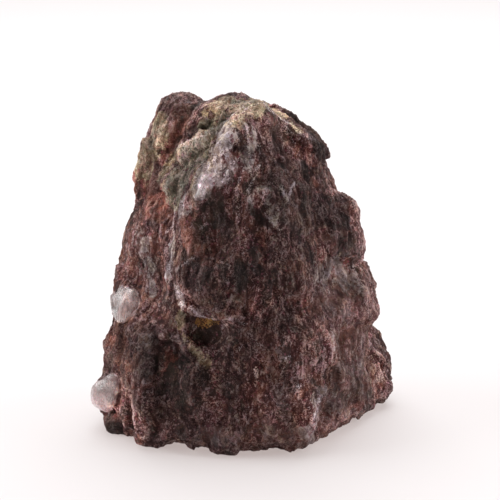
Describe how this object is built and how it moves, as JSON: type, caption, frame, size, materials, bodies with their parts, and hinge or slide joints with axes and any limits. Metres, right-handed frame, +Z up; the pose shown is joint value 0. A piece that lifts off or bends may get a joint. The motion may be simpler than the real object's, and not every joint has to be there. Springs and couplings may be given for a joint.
{
  "type": "pyroaurite specimen",
  "caption": "Rough broken lump of dark red-brown mineral rock on a flat foot, with glassy pale crystals grown into its left side and front ridge, for display on a shelf or in a case.",
  "frame": {"origin": "middle of the footprint, on the surface that the specimen stands on", "axes": "+Z up, +X to the specimen's right as seen from its front, -Y towards its front"},
  "size_m": [0.0286, 0.0192, 0.0316],
  "materials": {
    "rock": "rough, fibrous, with a faint glint",
    "clear_crystal": "milky, softly glossy"
  },
  "bodies": {
    "root": {"rock": "rock", "lower_left_crystal": "clear_crystal", "upper_left_crystal": "clear_crystal", "ridge_crystal": "clear_crystal"}
  },
  "joints": []
}
